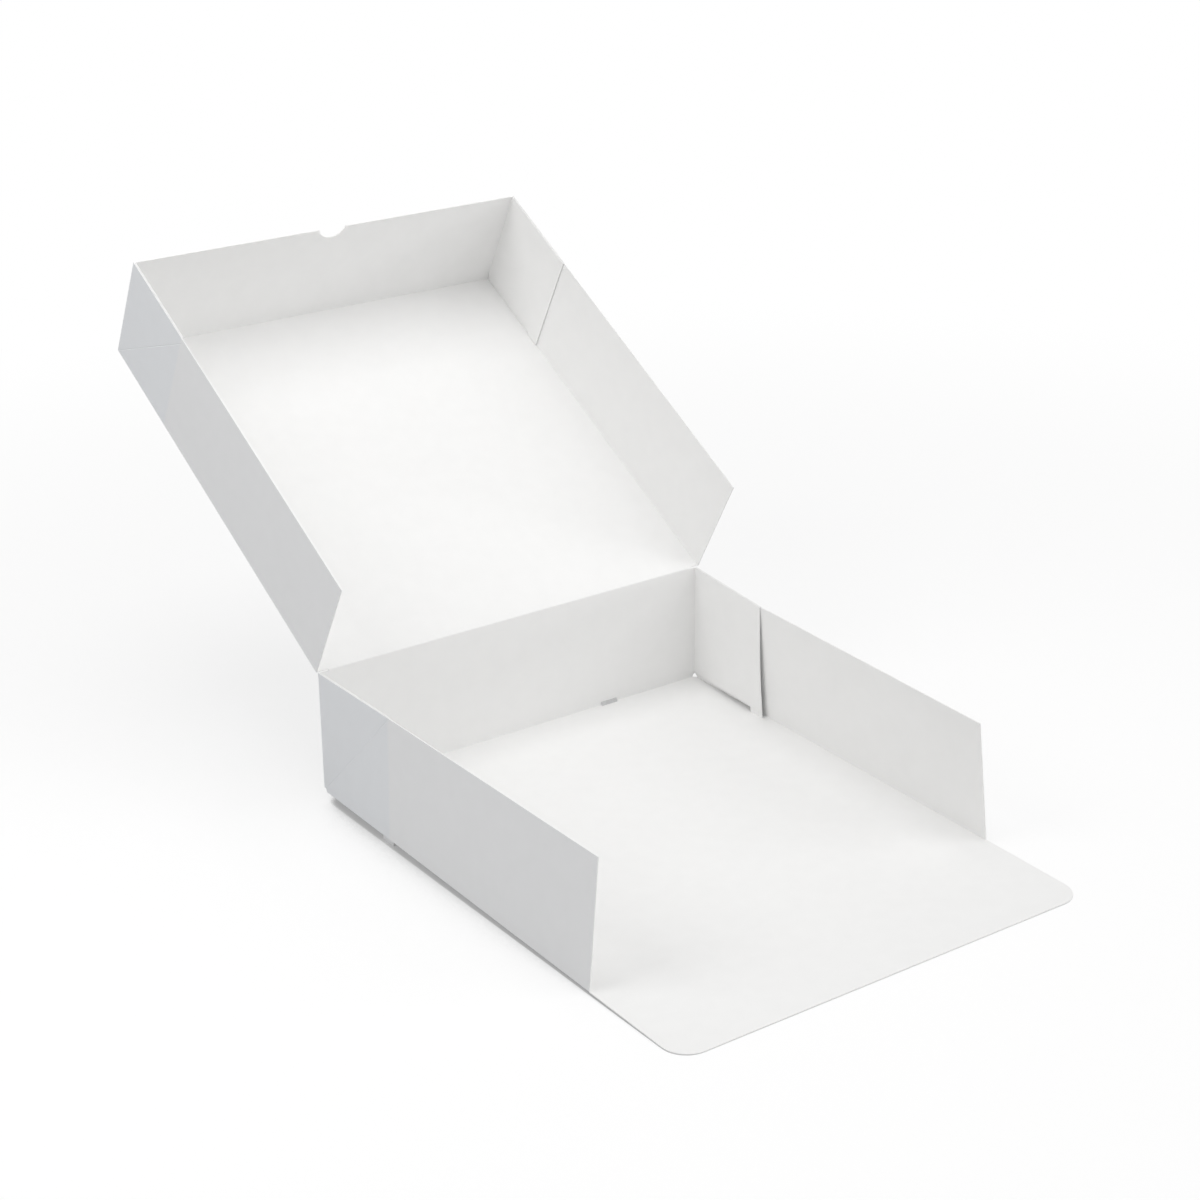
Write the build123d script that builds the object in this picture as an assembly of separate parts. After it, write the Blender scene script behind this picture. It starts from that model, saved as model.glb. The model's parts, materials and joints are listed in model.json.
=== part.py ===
from build123d import *
from math import cos, radians, sin, tan
import os

# One sheet of board
board = 0.6
crease_gap = 0.3
overrun = 3.0

# Tray, which the lid and the front flap hang on
tray_width = 290.0
tray_depth = 290.0
tray_height = 81.0
front_setback = 1.5

# Side walls of the tray: the turn of each rear triangle, and the lean of each wall at its front end
left_turn = 1.5
right_turn = 5.1
left_lean = 4.5
right_lean = 7.5

# Turn of each corner flap of the tray at its foot, which its tongue draws towards the wall
left_foot_turn = 1.5
right_foot_turn = 2.2

# Lid, which closes down over the tray
lid_height = 77.5
lid_open = 151.0
lid_side_clearance = 0.3
lid_front_clearance = 0.5
lid_front_flare = 1.0
thumb_width = 20.5
thumb_depth = 8.0

# Front flap, which stands up inside the closed lid
flap_length = 80.0
flap_corner = 16.0

# Corner flaps, which stop short of the top of their diagonal creases, with their tongues and slots
tray_tuck_margin = 2.0
lid_tuck_margin = 5.5
tuck_raise = 4.0
tongue_width = 12.0
tray_tongue_reach = 0.0
lid_tongue_reach = 0.0
tongue_corner = 2.0
slot_clearance = 0.4

# Slots on the rear crease, which clear the tongues while the box lies flat
crease_slot_width = 13.0
crease_slot_rise = 2.5
crease_slot_run = 2.5

# Scored groove of each diagonal crease, and the hole where three creases meet
score_width = 1.2
score_depth = 0.15
corner_relief = 2.2

# Places that follow from the sizes above
half_tray = tray_width / 2
half_lid = half_tray + lid_side_clearance + 2 * board
front_y = -tray_depth / 2
hinge_y = tray_depth / 2 - board / 2
hinge_z = tray_height + crease_gap + board / 2
lid_depth = hinge_y - front_y + board / 2 + lid_front_clearance + board
tray_tuck = tray_height - tray_tuck_margin
lid_tuck = lid_height - lid_tuck_margin


def plate(outline, thickness):
    """A flat panel: an outline of points, given its thickness along a vector."""
    return extrude(Face(Wire.make_polygon(outline)), thickness.length, dir=thickness)


def strip(foot, top, thickness):
    """The cut section of a wall from its foot to its top."""
    return Face(Wire.make_polygon([foot, top, top + thickness, foot + thickness]))


def hinged_panel(half, length):
    """A panel along +Y whose rounded edge turns on the X axis, at the middle of its thickness."""
    skin = board / 2
    sides = Polyline((0, skin), (length, skin), (length, -skin), (0, -skin))
    bead = ThreePointArc((0, -skin), (-skin, 0), (0, skin))
    return extrude(Plane.YZ * make_face([sides, bead]), half, both=True)


def arc_radius(chord, depth):
    """The radius of an arc from its chord and its depth."""
    return (chord**2 / 4 + depth**2) / (2 * depth)


class Shell:
    """A shallow shell open at one end: its panel lies on XY, its walls rise from it, its end wall is at +Y."""

    def __init__(self, half, depth, height, end_lean, turns, foot_turns, leans, start, tuck, reach):
        self.half = half
        self.depth = depth
        self.height = height
        self.end_lean = end_lean
        self.turns = turns
        self.foot_turns = foot_turns
        self.leans = leans
        self.start = start
        self.tuck = tuck
        self.reach = reach

    def corner_point(self, side, along, up):
        """A point on a side wall's outer face, along from the end wall's corner and up from the panel."""
        turn = radians(self.turns[side])
        back = up * tan(radians(self.end_lean)) - along * cos(turn)
        return Vector(side * (self.half - along * sin(turn)), self.depth + back, up)

    def end_wall(self):
        """The wall across the closed end."""
        foot = [self.corner_point(side, 0, 0) for side in (-1, 1)]
        top = [self.corner_point(side, 0, self.height) for side in (1, -1)]
        return plate(foot + top, Vector(0, -board, 0))

    def side_wall(self, side):
        """A side wall: the triangle beside the end wall, and the panel that leans in beyond their crease."""
        inward = Vector(-side * board, 0, 0)
        foot = self.corner_point(side, 0, 0)
        corner_top = self.corner_point(side, 0, self.height)
        crease_top = self.corner_point(side, self.height, self.height)
        lean_in = self.height * tan(radians(self.leans[side]))
        open_foot = Vector(side * self.half, self.start, 0)
        open_top = Vector(side * (self.half - lean_in), self.start, self.height)
        triangle = plate([foot, corner_top, crease_top], inward)
        panel = loft([strip(foot, crease_top, inward), strip(open_foot, open_top, inward)], ruled=True)
        return triangle + panel

    def flap_point(self, side, along, up):
        """A point on a corner flap's outer face, which is drawn back to the wall below the diagonal crease."""
        back = sin(radians(self.turns[side])) - sin(radians(self.foot_turns[side]))
        out = max(along - up, 0) * back - board
        return self.corner_point(side, along, up) + Vector(side * out, 0, 0)

    def corner_flap(self, side):
        """The flap on the end wall's side edge, glued inside the triangle, with a tongue at its lower corner."""
        inward = Vector(-side * board, 0, 0)
        tongue_start = self.tuck - tongue_width
        crease = [(tuck_raise, tuck_raise), (self.tuck, self.tuck)]
        glued = [*crease, (self.tuck, self.height), (0, self.height), (0, tuck_raise)]
        tongue = [(self.tuck, -self.reach), (tongue_start, -self.reach), (tongue_start, tuck_raise)]
        upper = plate([self.flap_point(side, along, up) for along, up in glued], inward)
        lower = plate([self.flap_point(side, along, up) for along, up in crease + tongue], inward)
        tip = lower.edges().filter_by(Axis.X).group_by(Axis.Z)[0]
        return upper + fillet(tip, tongue_corner)

    def tongue_slot(self, side):
        """The cutter for the slot that the tongue goes through."""
        middle = self.flap_point(side, self.tuck - tongue_width / 2, 0)
        slot = Box(board + 2 * slot_clearance, tongue_width + 2 * slot_clearance, 2 * overrun)
        slot = Rot(0, 0, -side * self.foot_turns[side]) * slot
        return Pos(middle.X - side * board / 2, middle.Y, 0) * slot

    def score(self, side):
        """The cutter for the rounded groove along the diagonal crease, on the wall's outer face."""
        foot = self.corner_point(side, 0, 0)
        run = self.corner_point(side, self.height, self.height) - foot
        radius = arc_radius(score_width, score_depth)
        start = foot + Vector(side * (radius - score_depth), 0, 0) - run.normalized() * overrun
        return Solid.make_cylinder(radius, run.length + 2 * overrun, Plane(start, z_dir=run))

    def relief(self, side):
        """The cutter for the small hole where the end wall, side wall and panel meet."""
        return Pos(side * (self.half - board), self.depth - board, board) * Sphere(corner_relief)

    def fold_up(self, panel):
        """The panel with its tongue slots, walls, scored creases and corner flaps."""
        shell = panel
        for side in self.turns:
            shell -= self.tongue_slot(side)
        shell += self.end_wall()
        for side in self.turns:
            shell += self.side_wall(side)
            shell -= self.score(side)
            shell += self.corner_flap(side)
        return shell


def base_tray():
    """Floor, rear wall and side walls, open at the front."""
    floor_start = board / 2 + crease_gap
    floor = Pos(0, floor_start, 0) * Box(
        tray_width, tray_depth - floor_start, board, align=(Align.CENTER, Align.MIN, Align.MIN)
    )
    turns = {-1: left_turn, 1: right_turn}
    foot_turns = {-1: left_foot_turn, 1: right_foot_turn}
    leans = {-1: left_lean, 1: right_lean}
    shell = Shell(
        half_tray, tray_depth, tray_height, 0, turns, foot_turns, leans,
        front_setback, tray_tuck, tray_tongue_reach,
    )
    tray = shell.fold_up(floor)
    slot = Box(crease_slot_width, 2 * crease_slot_run, 2 * crease_slot_rise)
    slot_x = half_tray - tray_tuck + tongue_width / 2
    for side in turns:
        tray -= shell.relief(side)
        tray -= Pos(side * slot_x, tray_depth, 0) * slot
    return Pos(0, front_y, 0) * tray


def lid():
    """Top panel, front wall and side walls, swung open about the rear wall's top edge."""
    panel = Pos(0, 0, board / 2) * hinged_panel(half_lid, lid_depth)
    straight = {-1: 0, 1: 0}
    shell = Shell(
        half_lid, lid_depth, lid_height, lid_front_flare, straight, straight, straight,
        0, lid_tuck, lid_tongue_reach,
    ).fold_up(panel)
    radius = arc_radius(thumb_width, thumb_depth)
    notch = Solid.make_cylinder(radius, 2 * overrun + board, Plane.XZ)
    notch_y = lid_depth + lid_height * tan(radians(lid_front_flare)) + overrun
    shell -= Pos(0, notch_y, lid_height + radius - thumb_depth) * notch
    return Pos(0, hinge_y, hinge_z) * Rot(180 - lid_open, 0, 0) * Pos(0, 0, -board / 2) * shell


def front_flap():
    """A panel with rounded outer corners, lying open in front of the tray."""
    panel = hinged_panel(half_tray, flap_length)
    corners = panel.edges().filter_by(Axis.Z).group_by(Axis.Y)[-1]
    return Pos(0, front_y, board / 2) * Rot(0, 0, 180) * fillet(corners, flap_corner)


os.makedirs("parts", exist_ok=True)
for make in (base_tray, lid, front_flap):
    export_step(make(), f"parts/{make.__name__}.step")
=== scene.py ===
import json
from math import asin, ceil, cos, pi, radians, sin, sqrt, tan

import bmesh
import bpy
from mathutils import Matrix, Vector


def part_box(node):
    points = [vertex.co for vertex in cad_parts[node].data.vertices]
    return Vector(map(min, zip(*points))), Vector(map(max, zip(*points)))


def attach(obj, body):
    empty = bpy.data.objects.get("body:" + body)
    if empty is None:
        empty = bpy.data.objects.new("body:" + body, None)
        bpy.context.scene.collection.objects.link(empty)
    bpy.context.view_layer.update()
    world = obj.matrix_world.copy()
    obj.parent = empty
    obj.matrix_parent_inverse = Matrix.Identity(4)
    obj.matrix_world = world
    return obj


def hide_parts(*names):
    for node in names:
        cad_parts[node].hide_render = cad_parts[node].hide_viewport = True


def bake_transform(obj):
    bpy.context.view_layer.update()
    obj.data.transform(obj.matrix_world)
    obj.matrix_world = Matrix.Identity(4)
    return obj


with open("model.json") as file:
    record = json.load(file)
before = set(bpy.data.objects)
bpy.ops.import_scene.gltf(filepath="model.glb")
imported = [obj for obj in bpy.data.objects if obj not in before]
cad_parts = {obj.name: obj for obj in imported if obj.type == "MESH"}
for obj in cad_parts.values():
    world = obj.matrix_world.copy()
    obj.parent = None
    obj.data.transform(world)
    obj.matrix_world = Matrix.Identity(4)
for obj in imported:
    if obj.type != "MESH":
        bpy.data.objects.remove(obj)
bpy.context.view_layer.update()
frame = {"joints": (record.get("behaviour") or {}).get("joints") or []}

# Sizes read from the frame, in metres
tray_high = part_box("base_tray")[1]
lid_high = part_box("lid")[1]
flap_low, flap_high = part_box("front_flap")
joints = {joint["name"]: joint for joint in frame["joints"]}
lid_axis = Vector(joints["lid_hinge"]["pos_m"])
flap_axis = Vector(joints["flap_hinge"]["pos_m"])
lid_rise = radians(joints["lid_hinge"]["range_deg"][1])
board = flap_high.z - flap_low.z
half_tray = tray_high.x
half_lid = lid_high.x
tray_depth = tray_high.y - flap_axis.y
tray_height = tray_high.z
flap_length = flap_axis.y - flap_low.y

# Sizes that the frame doesn't state
front_setback = 0.0015
lid_height = 0.0775
lid_flare = radians(1.0)
lid_front_clearance = 0.0005
lid_depth = lid_axis.y - flap_axis.y + board / 2 + lid_front_clearance + board
thumb_width = 0.0205
thumb_depth = 0.008
flap_corner = 0.016
tray_turns = {-1: radians(1.5), 1: radians(5.1)}
tray_foot_turns = {-1: radians(1.5), 1: radians(2.2)}
tray_leans = {-1: radians(4.5), 1: radians(7.5)}
tray_tuck = 0.079
lid_tuck = 0.072
tuck_raise = 0.004
tongue_width = 0.012
tongue_corner = 0.0006
tray_tongue_reach = 0.005
lid_tongue_reach = 0.0
slot_clearance = 0.0004
crease_slot_width = 0.013
crease_slot_rise = 0.0025
crease_slot_run = 0.0025
corner_relief = 0.0022

# How the board folds and how finely it is divided
fold = 0.0005
lid_crease_reach = 0.0012
lid_slit_length = 0.007
lid_slit_start = 0.0005
crease_bend = 0.001
score_depth = 0.00022
score_half = 0.0006
score_lines = [0.0, score_half / 2, score_half, 1.5 * score_half]
glue_gap = 0.00025
# How wide the soft edge of the shade painted over the corner flaps is
flap_show_through = 0.0015
far_past_flap = 1.0
step = 0.004
arc_steps = 5
relief_steps = 3
weld = 0.00002
count_slack = 0.000001
sharp_angle = radians(35)
strip_end = half_tray - lid_slit_length


def spread(start, end, size):
    """Evenly spaced values from start to end, no more than a size apart."""
    count = max(1, ceil(abs(end - start) / size - count_slack))
    return [start + (end - start) * i / count for i in range(count + 1)]


def lines(marks, size=step):
    """Grid lines through every mark, no more than a size apart."""
    apart = []
    for mark in sorted(marks):
        if not apart or mark - apart[-1] > weld:
            apart.append(mark)
    found = [line for start, end in zip(apart, apart[1:]) for line in spread(start, end, size)[:-1]]
    return found + [apart[-1]]


def relief_lines(start):
    """Grid lines that the hole in a corner is cut on, from the place of its middle."""
    return [start + corner_relief * i / relief_steps for i in range(1, relief_steps + 1)]


def arc_radius(chord, depth):
    """The radius of an arc from its chord and its depth."""
    return (chord**2 / 4 + depth**2) / (2 * depth)


class Sheet:
    """A folded sheet under way: grids of faces on the middle of the board, facing the inside."""

    def __init__(self):
        self.mesh = bmesh.new()
        # Each point's distance past a corner flap's free edge, which places the shade painted over the
        # flaps
        self.past_flap = self.mesh.verts.layers.float.new("past_flap")

    def grid(self, columns, rows, place, keep=None, flip=False, past_flap=None):
        """Adds a grid of faces, leaving out the cells whose middle isn't to be kept."""
        verts = [[self.mesh.verts.new(place(u, v)) for v in rows] for u in columns]
        for u, line in zip(columns, verts):
            for v, vert in zip(rows, line):
                vert[self.past_flap] = past_flap(u, v) if past_flap else far_past_flap
        for i in range(len(columns) - 1):
            for j in range(len(rows) - 1):
                middle = (columns[i] + columns[i + 1]) / 2, (rows[j] + rows[j + 1]) / 2
                if keep and not keep(*middle):
                    continue
                corners = [verts[i][j], verts[i + 1][j], verts[i + 1][j + 1], verts[i][j + 1]]
                self.mesh.faces.new(reversed(corners) if flip else corners)

    def join(self):
        """Welds the grids along the lines that they share."""
        loose = [vert for vert in self.mesh.verts if not vert.link_faces]
        bmesh.ops.delete(self.mesh, geom=loose, context="VERTS")
        bmesh.ops.remove_doubles(self.mesh, verts=self.mesh.verts, dist=weld)
        bmesh.ops.dissolve_degenerate(self.mesh, edges=self.mesh.edges, dist=weld)

    def pierce(self, centre, radius):
        """Cuts a round hole where folds meet, and draws its edge onto the hole's radius."""
        inside = [face for face in self.mesh.faces if (face.calc_center_median() - centre).length < radius]
        edge = {vert for face in inside for vert in face.verts}
        bmesh.ops.delete(self.mesh, geom=inside, context="FACES")
        for vert in edge:
            if vert.is_valid:
                vert.co = centre + radius * (vert.co - centre).normalized()


class Shell:
    """A shallow shell folded from one sheet: its panel lies on XY, its end wall is at +Y."""

    def __init__(
        self, half, depth, height, flare, turns, foot_turns, leans, wall_start, panel_start, tuck, reach
    ):
        """Takes the turns, foot turns and leans as angles for the left side, -1, and the right side, 1."""
        self.half = half
        self.depth = depth
        self.height = height
        self.flare = flare
        self.turns = turns
        self.foot_turns = foot_turns
        self.leans = leans
        self.panel_start = panel_start
        self.tuck = tuck
        self.reach = reach
        self.run = depth - wall_start
        self.inset = board / 2 + fold
        self.flat = half - self.inset
        self.arc = fold * pi / 2
        self.rises = lines([fold, *relief_lines(board / 2), tuck_raise, height - board / 2])
        self.bends = spread(0, self.arc, self.arc / arc_steps)
        self.flap_end = self.flat - board - glue_gap

    def bent(self, distance):
        """How far out and how high a fold brings a point, from its distance past the flat panel."""
        if distance <= self.arc:
            angle = distance / fold
            return fold * sin(angle), fold * (1 - cos(angle))
        return fold, fold + distance - self.arc

    def rise_distance(self, rise):
        """The distance past the flat panel of a point on a wall."""
        return self.arc + rise - fold

    def lean_in(self, side, along, rise):
        """How far a side wall stands in from its foot, with the groove of its diagonal crease."""
        turn, lean = tan(self.turns[side]), tan(self.leans[side])
        past = along - rise
        groove = score_depth * (1 + cos(pi * min(abs(past) / score_half, 1))) / 2
        if past <= 0:
            return along * turn + groove
        share = past / (self.run - rise)
        return rise * (turn + (lean - turn) * share) + groove

    def lean_back(self, along, rise):
        """How far a side wall leans with the end wall, at a place along it."""
        return rise * tan(self.flare) * (1 - max(0, along - rise) / (self.run - rise))

    def wall_point(self, side, along, rise):
        """A point on a side wall, along from the end wall and up from the panel's middle."""
        out = self.half - board / 2 - self.lean_in(side, along, rise)
        return Vector((side * out, self.depth - along + self.lean_back(along, rise), board / 2 + rise))

    def along(self, column, rise):
        """A column's place along the side walls, from the diagonal crease to the open end."""
        groove = score_lines[-1]
        if column <= groove:
            return rise + column
        share = (column - groove) / (self.run - groove)
        return rise + groove + (self.run - rise - groove) * share

    def panel_point(self, column, across):
        """A point on the panel or, past the folds, on a side wall."""
        side = 1 if across > 0 else -1
        distance = abs(across) - self.flat
        if distance <= 0:
            along = min(max(column, self.inset), self.depth - self.panel_start)
            return Vector((across, self.depth - along, board / 2))
        out, rise = self.bent(distance)
        along = self.along(column, rise)
        if rise >= fold:
            return self.wall_point(side, along, rise)
        share = rise / fold
        nearest = self.inset * (1 - share)
        furthest = self.run + (self.depth - self.panel_start - self.run) * (1 - share)
        along = min(max(along, nearest), furthest)
        return Vector((side * (self.flat + out), self.depth - along, board / 2 + rise))

    def slot_edges(self, side):
        """The edges of the slot that a side's tongue goes through, out from the panel's middle."""
        turn = tan(self.foot_turns[side])
        middle = self.half - 1.5 * board - (self.tuck - tongue_width / 2) * turn
        reach = board / 2 + slot_clearance + tongue_width / 2 * turn
        return middle - reach, min(middle + reach, self.flat)

    def slot_ends(self):
        """Where the tongues' slots start and end, along from the end wall."""
        return self.tuck - tongue_width - slot_clearance, self.tuck + slot_clearance

    def across_lines(self, marks):
        """The lines that cross the panel, shared by the end wall."""
        corner = [self.flat, self.flap_end, *[self.half - place for place in relief_lines(board)]]
        places = corner + [-place for place in corner]
        for side in self.turns:
            places += [side * edge for edge in self.slot_edges(side)]
        return lines(places + marks)

    def past_flap(self, column, across):
        """How far a point on a side wall lies past the free edge of the corner flap behind it."""
        distance = abs(across) - self.flat
        if distance <= 0:
            return far_past_flap
        return self.along(column, self.bent(distance)[1]) - self.tuck

    def panel_and_walls(self, sheet, marks, ends, kept):
        """The panel with its slots, and the side walls in front of their diagonal creases."""
        wall = [self.flat + self.rise_distance(rise) for rise in self.rises]
        up = [self.flat + bend for bend in self.bends[1:-1]] + wall
        across = [-place for place in reversed(up)] + self.across_lines(marks) + up
        start, end = self.slot_ends()
        columns = lines([*score_lines, self.inset, *relief_lines(board), start, end, *ends, self.run])

        def keep(column, place):
            near, far = self.slot_edges(1 if place > 0 else -1)
            in_slot = start < column < end and near < abs(place) < far
            return kept(column, place) and not in_slot

        sheet.grid(columns, across, self.panel_point, keep, past_flap=self.past_flap)

    def triangles(self, sheet):
        """The triangle of each side wall, between the end wall and the diagonal crease."""
        groove = score_lines[-1]
        columns = lines([*score_lines, self.rises[-1]])

        def along(column, rise):
            if column <= groove:
                return max(rise - column, 0)
            share = (column - groove) / (self.rises[-1] - groove)
            return max(rise - groove, 0) * (1 - share)

        for side in self.turns:
            sheet.grid(
                columns, self.rises, lambda c, rise: self.wall_point(side, along(c, rise), rise),
                flip=side > 0, past_flap=lambda c, rise: along(c, rise) - self.tuck,
            )

    def end_wall(self, sheet, marks, edge, kept):
        """The wall across the closed end, whose free edge follows a height."""
        across = self.across_lines(marks)
        rows = self.bends[:-1] + [self.rise_distance(rise) for rise in self.rises]

        def point(place, row):
            out, rise = self.bent(row)
            rise = edge(place, rise)
            back = self.depth - self.inset + out + rise * tan(self.flare)
            return Vector((place, back, board / 2 + rise))

        def keep(place, row):
            below_flap = row < self.rise_distance(tuck_raise)
            return kept(place, self.bent(row)[1]) and (below_flap or abs(place) < self.flap_end)

        sheet.grid(across, rows, point, keep)

    def flap_point(self, side, distance, up):
        """A point on a corner flap, at a distance round its fold from the end wall."""
        out, further = self.bent(distance)
        along = board / 2 + further
        turn, foot_turn = tan(self.turns[side]), tan(self.foot_turns[side])
        free = max(0, along - up)
        x = self.flap_end + out - along * turn + free**2 / self.tuck * (turn - foot_turn)
        back = self.depth - along + (up - board / 2) * tan(self.flare)
        return Vector((side * x, back, up))

    def inner_corner(self, side):
        """Where the panel, the end wall and a side wall meet."""
        return Vector((side * (self.half - board), self.depth - board, board))

    def corner_flap(self, sheet, side):
        """The flap on the end wall's side edge, glued inside the triangle, with a tongue at its foot."""
        to_flat = self.arc - board / 2 - fold
        tip_start, tip_end = self.tuck - tongue_width + to_flat, self.tuck + to_flat
        middle = (tip_start + tip_end) / 2
        columns = self.bends[:-1] + lines([self.arc, tip_start, tip_end])
        rows = [board / 2 + rise for rise in self.rises if rise >= tuck_raise - weld]
        sheet.grid(columns, rows, lambda c, up: self.flap_point(side, c, up), flip=side < 0)
        tip = -self.reach
        rounding = [tip + tongue_corner * (1 - cos(pi / 2 * i / arc_steps)) for i in range(arc_steps)]
        tongue_rows = rounding + lines([tip + tongue_corner, rows[0]])

        def tongue_point(column, up):
            short = max(0, tip + tongue_corner - up)
            inset = tongue_corner - sqrt(max(0, tongue_corner**2 - short**2))
            width = 1 - 2 * inset / tongue_width
            return self.flap_point(side, middle + (column - middle) * width, up)

        tongue_columns = [column for column in columns if tip_start - weld <= column <= tip_end + weld]
        sheet.grid(tongue_columns, tongue_rows, tongue_point, flip=side < 0)


def tray_sheet():
    """Floor, side walls, rear wall with its crease slots, and corner flaps."""
    shell = Shell(
        half=half_tray, depth=tray_depth, height=tray_height, flare=0,
        turns=tray_turns, foot_turns=tray_foot_turns, leans=tray_leans,
        wall_start=front_setback, panel_start=front_setback, tuck=tray_tuck, reach=tray_tongue_reach,
    )
    slot_x = half_tray - tray_tuck + tongue_width / 2
    marks = [side * (slot_x + end * crease_slot_width / 2) for side in (-1, 1) for end in (-1, 1)]
    marks += [-strip_end, strip_end]
    strip_start = lid_axis.z - lid_crease_reach - board / 2
    shell.rises = lines(shell.rises + [crease_slot_rise, strip_start])

    def in_slot(place):
        return abs(abs(place) - slot_x) < crease_slot_width / 2

    def floor_kept(column, place):
        return not (column < crease_slot_run and in_slot(place))

    def wall_kept(place, rise):
        in_strip = rise > strip_start and abs(place) < strip_end
        return not in_strip and not (rise < crease_slot_rise and in_slot(place))

    sheet = Sheet()
    shell.end_wall(sheet, marks, lambda place, rise: rise, wall_kept)
    shell.panel_and_walls(sheet, marks, [crease_slot_run], floor_kept)
    shell.triangles(sheet)
    for side in tray_turns:
        shell.corner_flap(sheet, side)
    sheet.join()
    for side in tray_turns:
        sheet.pierce(shell.inner_corner(side), corner_relief)
    sheet.mesh.transform(Matrix.Translation((0, flap_axis.y, 0)))
    return sheet


def lid_sheet():
    """Top panel, side walls, front wall with its thumb notch, and corner flaps."""
    straight = {-1: 0.0, 1: 0.0}
    shell = Shell(
        half=half_lid, depth=lid_depth, height=lid_height, flare=lid_flare,
        turns=straight, foot_turns=straight, leans=straight,
        wall_start=0, panel_start=lid_slit_start, tuck=lid_tuck, reach=lid_tongue_reach,
    )
    radius = arc_radius(thumb_width, thumb_depth)
    lip = asin(thumb_width / 2 / radius)
    marks = [radius * sin(lip * i / arc_steps / 2) for i in range(-2 * arc_steps, 2 * arc_steps + 1)]
    marks += [-strip_end, strip_end]
    strip_start = lid_depth - lid_crease_reach
    top = lid_height - board / 2
    below_notch = top - 2 * thumb_depth

    def notched_edge(place, rise):
        if abs(place) >= thumb_width / 2 or rise <= below_notch:
            return rise
        edge = top + radius - thumb_depth - sqrt(radius**2 - place**2)
        return below_notch + (rise - below_notch) * (edge - below_notch) / (top - below_notch)

    def panel_kept(column, place):
        return not (column > strip_start and abs(place) < strip_end)

    sheet = Sheet()
    shell.end_wall(sheet, marks, notched_edge, lambda place, rise: True)
    shell.panel_and_walls(sheet, marks, [strip_start, lid_depth - lid_slit_start], panel_kept)
    shell.triangles(sheet)
    for side in straight:
        shell.corner_flap(sheet, side)
    sheet.join()
    swing = Matrix.Translation(lid_axis) @ Matrix.Rotation(lid_rise, 4, "X")
    sheet.mesh.transform(swing @ Matrix.Translation((0, 0, -board / 2)))
    return sheet


def flap_sheet():
    """The front flap, with rounded outer corners."""
    sheet = Sheet()
    straight = half_tray - flap_corner
    turned = [straight + flap_corner * sin(pi / 2 * i / (2 * arc_steps)) for i in range(2 * arc_steps + 1)]
    middle = lines([-straight, straight])
    columns = [-place for place in reversed(turned[1:])] + middle + turned[1:]

    def point(place, row):
        past = max(0, abs(place) - straight)
        length = flap_length - flap_corner + sqrt(max(0, flap_corner**2 - past**2))
        share = (row - front_setback) / (flap_length - front_setback)
        reach = front_setback + (length - front_setback) * share
        return Vector((place, flap_axis.y - reach, flap_axis.z))

    sheet.grid(columns, lines([front_setback, flap_length]), point, flip=True)
    return sheet


def front_crease_sheet():
    """The strip of board at the crease between the floor and the front flap, lying flat."""
    sheet = Sheet()
    rows = spread(-front_setback, front_setback, front_setback / arc_steps)
    columns = lines([-half_tray, half_tray])
    sheet.grid(columns, rows, lambda x, row: Vector((x, flap_axis.y - row, flap_axis.z)), flip=True)
    return sheet


def lid_crease_sheet():
    """The strip of board that bends between the rear wall and the lid."""
    sheet = Sheet()
    turn = pi / 2 - lid_rise
    tangent = crease_bend * tan(turn / 2)
    path = [Vector((0, -lid_crease_reach))]
    for angle in spread(0, turn, turn / (2 * arc_steps)):
        path.append(Vector((crease_bend * (1 - cos(angle)), crease_bend * sin(angle) - tangent)))
    path.append(Vector((cos(lid_rise), sin(lid_rise))) * lid_crease_reach)
    columns = lines([-strip_end, strip_end])

    def point(x, row):
        place = path[row]
        return Vector((x, lid_axis.y + place.x, lid_axis.z + place.y))

    sheet.grid(columns, range(len(path)), point)
    return sheet


# Finish of the board, and the shade painted on its outside over the corner flaps
mottle_scale = 90
mottle_detail = 5
mottle_band = (0.3, 0.7)
mottle_share = 0.985
roughness_band = (0.5, 0.62)
specular_level = 0.3
grain_scale = 1400
grain_detail = 4
grain_height = 0.0001
inside_white = (0.885, 0.883, 0.876)
outside_white = (0.876, 0.88, 0.886)
edge_white = (0.9, 0.9, 0.895)
inside_fibre = 0.25
outside_fibre = 0.15
edge_fibre = 0.6
# Painted shade: a faint cool darkening multiplied into the outside face where a corner flap lies behind
# the wall
painted_flap_shade = (0.962, 0.976, 0.992)


def ranged(nodes, links, value, low, high, start=0, end=1, smooth=False):
    """A socket that goes from low to high while a value goes from start to end."""
    node = nodes.new("ShaderNodeMapRange")
    node.interpolation_type = "SMOOTHSTEP" if smooth else "LINEAR"
    node.inputs["From Min"].default_value = start
    node.inputs["From Max"].default_value = end
    node.inputs["To Min"].default_value = low
    node.inputs["To Max"].default_value = high
    links.new(value, node.inputs["Value"])
    return node.outputs["Result"]


def noise(nodes, links, place, scale, detail):
    """A socket with noise that follows a place."""
    node = nodes.new("ShaderNodeTexNoise")
    node.inputs["Scale"].default_value = scale
    node.inputs["Detail"].default_value = detail
    links.new(place, node.inputs["Vector"])
    return node.outputs["Fac"]


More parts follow.
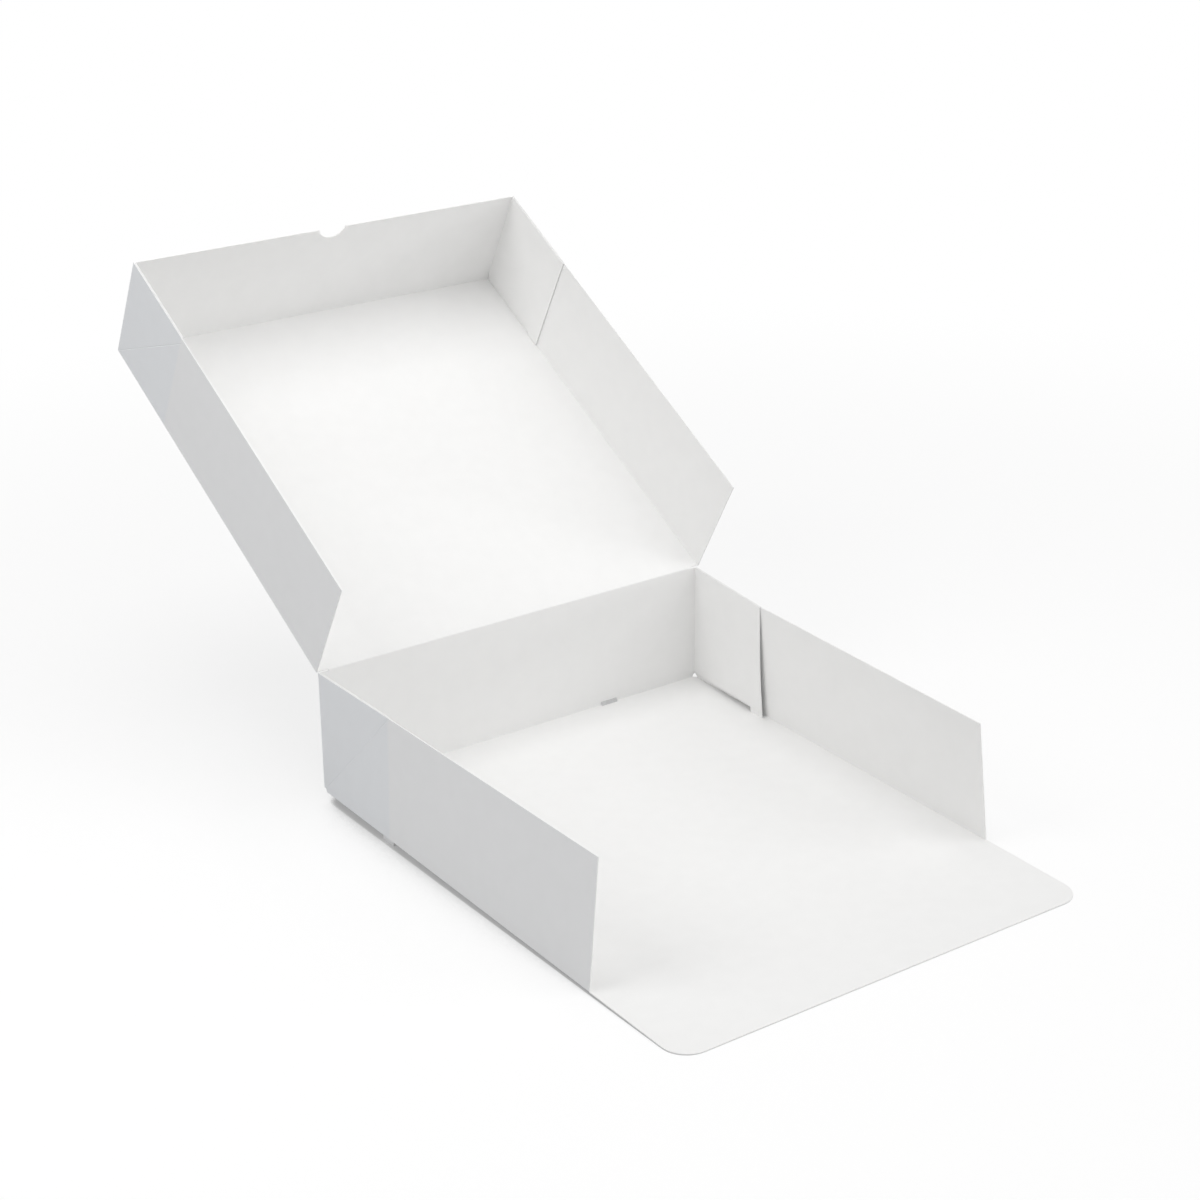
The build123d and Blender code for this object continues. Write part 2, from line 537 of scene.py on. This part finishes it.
def board_face(name, colour, fibre):
    """Coated white board: faint mottle in the coat, a soft sheen and a fine fibre grain."""
    material = bpy.data.materials.new(name)
    material.use_nodes = True
    nodes, links = material.node_tree.nodes, material.node_tree.links
    shader = nodes["Principled BSDF"]
    place = nodes.new("ShaderNodeTexCoord").outputs["Object"]

    mottle = noise(nodes, links, place, mottle_scale, mottle_detail)
    tone = nodes.new("ShaderNodeValToRGB")
    dark, pale = tone.color_ramp.elements
    dark.position, pale.position = mottle_band
    dark.color = (*[channel * mottle_share for channel in colour], 1)
    pale.color = (*colour, 1)
    links.new(mottle, tone.inputs["Fac"])
    links.new(tone.outputs["Color"], shader.inputs["Base Color"])
    links.new(ranged(nodes, links, mottle, *roughness_band), shader.inputs["Roughness"])
    shader.inputs["Specular IOR Level"].default_value = specular_level

    bump = nodes.new("ShaderNodeBump")
    bump.inputs["Strength"].default_value = fibre
    bump.inputs["Distance"].default_value = grain_height
    links.new(noise(nodes, links, place, grain_scale, grain_detail), bump.inputs["Height"])
    links.new(bump.outputs["Normal"], shader.inputs["Normal"])
    return material


def paint_shade_over_flaps(material, shade):
    """Paints shade into a face's colour, darkening it a little where a corner flap behind it keeps light
    from showing through the board.
    """
    nodes, links = material.node_tree.nodes, material.node_tree.links
    shader = nodes["Principled BSDF"]
    plain = shader.inputs["Base Color"].links[0].from_socket
    past = nodes.new("ShaderNodeAttribute")
    past.attribute_name = "past_flap"
    behind = ranged(nodes, links, past.outputs["Fac"], 1, 0, -flap_show_through, flap_show_through)
    painted_shade = nodes.new("ShaderNodeMix")
    painted_shade.data_type = "RGBA"
    painted_shade.blend_type = "MULTIPLY"
    painted_shade.inputs["B"].default_value = (*shade, 1)
    links.new(behind, painted_shade.inputs["Factor"])
    links.new(plain, painted_shade.inputs["A"])
    links.new(painted_shade.outputs["Result"], shader.inputs["Base Color"])


inside_face = board_face("board_inside", inside_white, inside_fibre)
outside_face = board_face("board_outside", outside_white, outside_fibre)
# Paints shade on the outside face where corner flaps lie behind the walls
paint_shade_over_flaps(outside_face, painted_flap_shade)
cut_edge = board_face("board_edge", edge_white, edge_fibre)


def piece(name, sheet, weighted=True):
    """A sheet given its thickness and its materials, as a finished mesh."""
    mesh = bpy.data.meshes.new(name)
    sheet.mesh.to_mesh(mesh)
    sheet.mesh.free()
    for material in (inside_face, outside_face, cut_edge):
        mesh.materials.append(material)
    made = bpy.data.objects.new(name, mesh)
    bpy.context.scene.collection.objects.link(made)
    thick = made.modifiers.new("thickness", "SOLIDIFY")
    thick.thickness = board
    thick.offset = 0
    thick.use_even_offset = True
    thick.material_offset = 1
    thick.material_offset_rim = 2
    bpy.context.view_layer.update()
    baked = bpy.data.meshes.new_from_object(made.evaluated_get(bpy.context.evaluated_depsgraph_get()))
    made.modifiers.clear()
    made.data = baked
    baked.polygons.foreach_set("use_smooth", [True] * len(baked.polygons))
    baked.set_sharp_from_angle(angle=sharp_angle)
    if weighted:
        level = made.modifiers.new("level_panels", "WEIGHTED_NORMAL")
        level.keep_sharp = True
    return made


tray = piece("tray_board", tray_sheet())
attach(tray, "tray_body")
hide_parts("base_tray")

lid = piece("lid_board", lid_sheet())
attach(lid, "lid_body")
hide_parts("lid")

flap = piece("flap_board", flap_sheet())
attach(flap, "flap_body")
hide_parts("front_flap")

front_crease = piece("front_crease", front_crease_sheet(), weighted=False)
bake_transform(front_crease)

lid_crease = piece("lid_crease", lid_crease_sheet(), weighted=False)
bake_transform(lid_crease)

# Camera
azimuth = radians(-34.99)
elevation = radians(23.19)
roll = radians(-0.39)
aim = Vector((0.00585, 0.05939, 0.12139))
distance = 1.531
lens_mm = 75.14
sensor_mm = 36


def camera_axes():
    """The camera's right, up and back directions."""
    back = Vector((sin(azimuth) * cos(elevation), -cos(azimuth) * cos(elevation), sin(elevation)))
    right = Vector((cos(azimuth), sin(azimuth), 0))
    up = back.cross(right)
    return right * cos(roll) + up * sin(roll), up * cos(roll) - right * sin(roll), back


right, up, back = camera_axes()
lens = bpy.data.cameras.new("camera")
lens.sensor_width = sensor_mm
lens.lens = lens_mm
camera = bpy.data.objects.new("camera", lens)
facing = Matrix((right, up, back)).transposed().to_4x4()
camera.matrix_world = Matrix.Translation(aim + back * distance) @ facing
bpy.context.scene.collection.objects.link(camera)
bpy.context.scene.camera = camera

# Stage, whose floor is white away from the box and keeps the box's real shadow, with painted shade added
# where the box shelters it
stage_size = 12.0
stage_tone = 0.6
shown_tone = 0.3
fade_start = 0.45
fade_end = 1.2
# Ambient occlusion within this reach holds back the floor's white glow between these values, painting
# shade where the box shelters the floor
shelter_reach = 0.12
sheltered = 0.45
unsheltered = 0.57
sheltered_share = 0.36
tongue_y = tray_high.y - tray_tuck + tongue_width / 2
under_board = 0.0001


def shown(nodes, links):
    """A socket that is 1 for what the camera sees, also in a reflection or through glass."""
    path = nodes.new("ShaderNodeLightPath")
    seen = path.outputs["Is Camera Ray"]
    for kind in ("Glossy", "Transmission"):
        either = nodes.new("ShaderNodeMath")
        either.operation = "MAXIMUM"
        links.new(seen, either.inputs[0])
        links.new(path.outputs[f"Is {kind} Ray"], either.inputs[1])
        seen = either.outputs["Value"]
    return seen


def product(nodes, links, first, second):
    """A socket that multiplies two others."""
    node = nodes.new("ShaderNodeMath")
    node.operation = "MULTIPLY"
    links.new(first, node.inputs[0])
    links.new(second, node.inputs[1])
    return node.outputs["Value"]


def shaded_floor(nodes, links, seen):
    """The floor near the box: pale and matte with its real shadow, lifted to white for the camera by a
    glow that ambient occlusion dims where the box shelters it, painting shade there.
    """
    matte = nodes.new("ShaderNodeBsdfDiffuse")
    links.new(ranged(nodes, links, seen, stage_tone, shown_tone), matte.inputs["Color"])
    sky_seen = nodes.new("ShaderNodeAmbientOcclusion")
    sky_seen.inputs["Distance"].default_value = shelter_reach
    full = 1 - shown_tone
    least = full * sheltered_share
    # Painted shade: the glow shrinks where ambient occlusion finds the box near
    open_floor = ranged(nodes, links, sky_seen.outputs["AO"], least, full, sheltered, unsheltered)
    lift = nodes.new("ShaderNodeEmission")
    links.new(product(nodes, links, seen, open_floor), lift.inputs["Strength"])
    both = nodes.new("ShaderNodeAddShader")
    links.new(matte.outputs["BSDF"], both.inputs[0])
    links.new(lift.outputs["Emission"], both.inputs[1])
    return both.outputs["Shader"]


def floor_material():
    """A pale floor that keeps the box's shadow, with painted shade where the box shelters it, and turns
    plain white away from it.
    """
    material = bpy.data.materials.new("floor")
    material.use_nodes = True
    nodes, links = material.node_tree.nodes, material.node_tree.links
    nodes.clear()
    seen = shown(nodes, links)
    away = nodes.new("ShaderNodeVectorMath")
    away.operation = "LENGTH"
    links.new(nodes.new("ShaderNodeTexCoord").outputs["Object"], away.inputs[0])
    fade = ranged(nodes, links, away.outputs["Value"], 0, 1, fade_start, fade_end, smooth=True)
    white = nodes.new("ShaderNodeEmission")
    both = nodes.new("ShaderNodeMixShader")
    links.new(product(nodes, links, seen, fade), both.inputs["Fac"])
    links.new(shaded_floor(nodes, links, seen), both.inputs[1])
    links.new(white.outputs["Emission"], both.inputs[2])
    output = nodes.new("ShaderNodeOutputMaterial")
    links.new(both.outputs["Shader"], output.inputs["Surface"])
    return material


def stage_floor():
    """A floor that touches the tips of the tray's tongues and the front edge of the flap."""
    slope = tray_tongue_reach / (tongue_y - flap_low.y)
    edge = stage_size / 2
    corners = [(-edge, -edge), (edge, -edge), (edge, edge), (-edge, edge)]
    verts = [(x, y, -slope * (y - flap_low.y) - under_board) for x, y in corners]
    mesh = bpy.data.meshes.new("floor")
    mesh.from_pydata(verts, [], [(0, 1, 2, 3)])
    mesh.materials.append(floor_material())
    made = bpy.data.objects.new("floor", mesh)
    bpy.context.scene.collection.objects.link(made)


stage_floor()

# Light
world_strength = 0.42


def studio_world():
    """Even light from all round, white to the camera."""
    world = bpy.data.worlds.new("studio")
    bpy.context.scene.world = world
    world.use_nodes = True
    nodes, links = world.node_tree.nodes, world.node_tree.links
    sky = nodes["Background"]
    sky.inputs["Color"].default_value = (1, 1, 1, 1)
    level = ranged(nodes, links, shown(nodes, links), world_strength, 1)
    links.new(level, sky.inputs["Strength"])


def soft_light(name, towards, size, watts):
    """A square lamp that stands off from the box and faces it."""
    data = bpy.data.lights.new(name, "AREA")
    data.size = size
    data.energy = watts
    lamp = bpy.data.objects.new(name, data)
    lamp.location = aim + Vector(towards)
    lamp.rotation_euler = (-Vector(towards)).to_track_quat("-Z", "Y").to_euler()
    lamp.visible_camera = False
    bpy.context.scene.collection.objects.link(lamp)


studio_world()
soft_light("overhead", towards=(0, 0.1, 1.5), size=1.2, watts=8.1)
soft_light("left", towards=(-1.0, 0.15, 0.9), size=0.8, watts=4.5)
soft_light("front", towards=(-0.3, -2.4, 1.4), size=1.8, watts=8.6)
soft_light("front_right", towards=(1.7, -1.7, 1.6), size=1.8, watts=15.5)
soft_light("low_right", towards=(1.6, -1.2, 0.03), size=0.45, watts=4.8)

view = bpy.context.scene.view_settings
view.view_transform = "Standard"
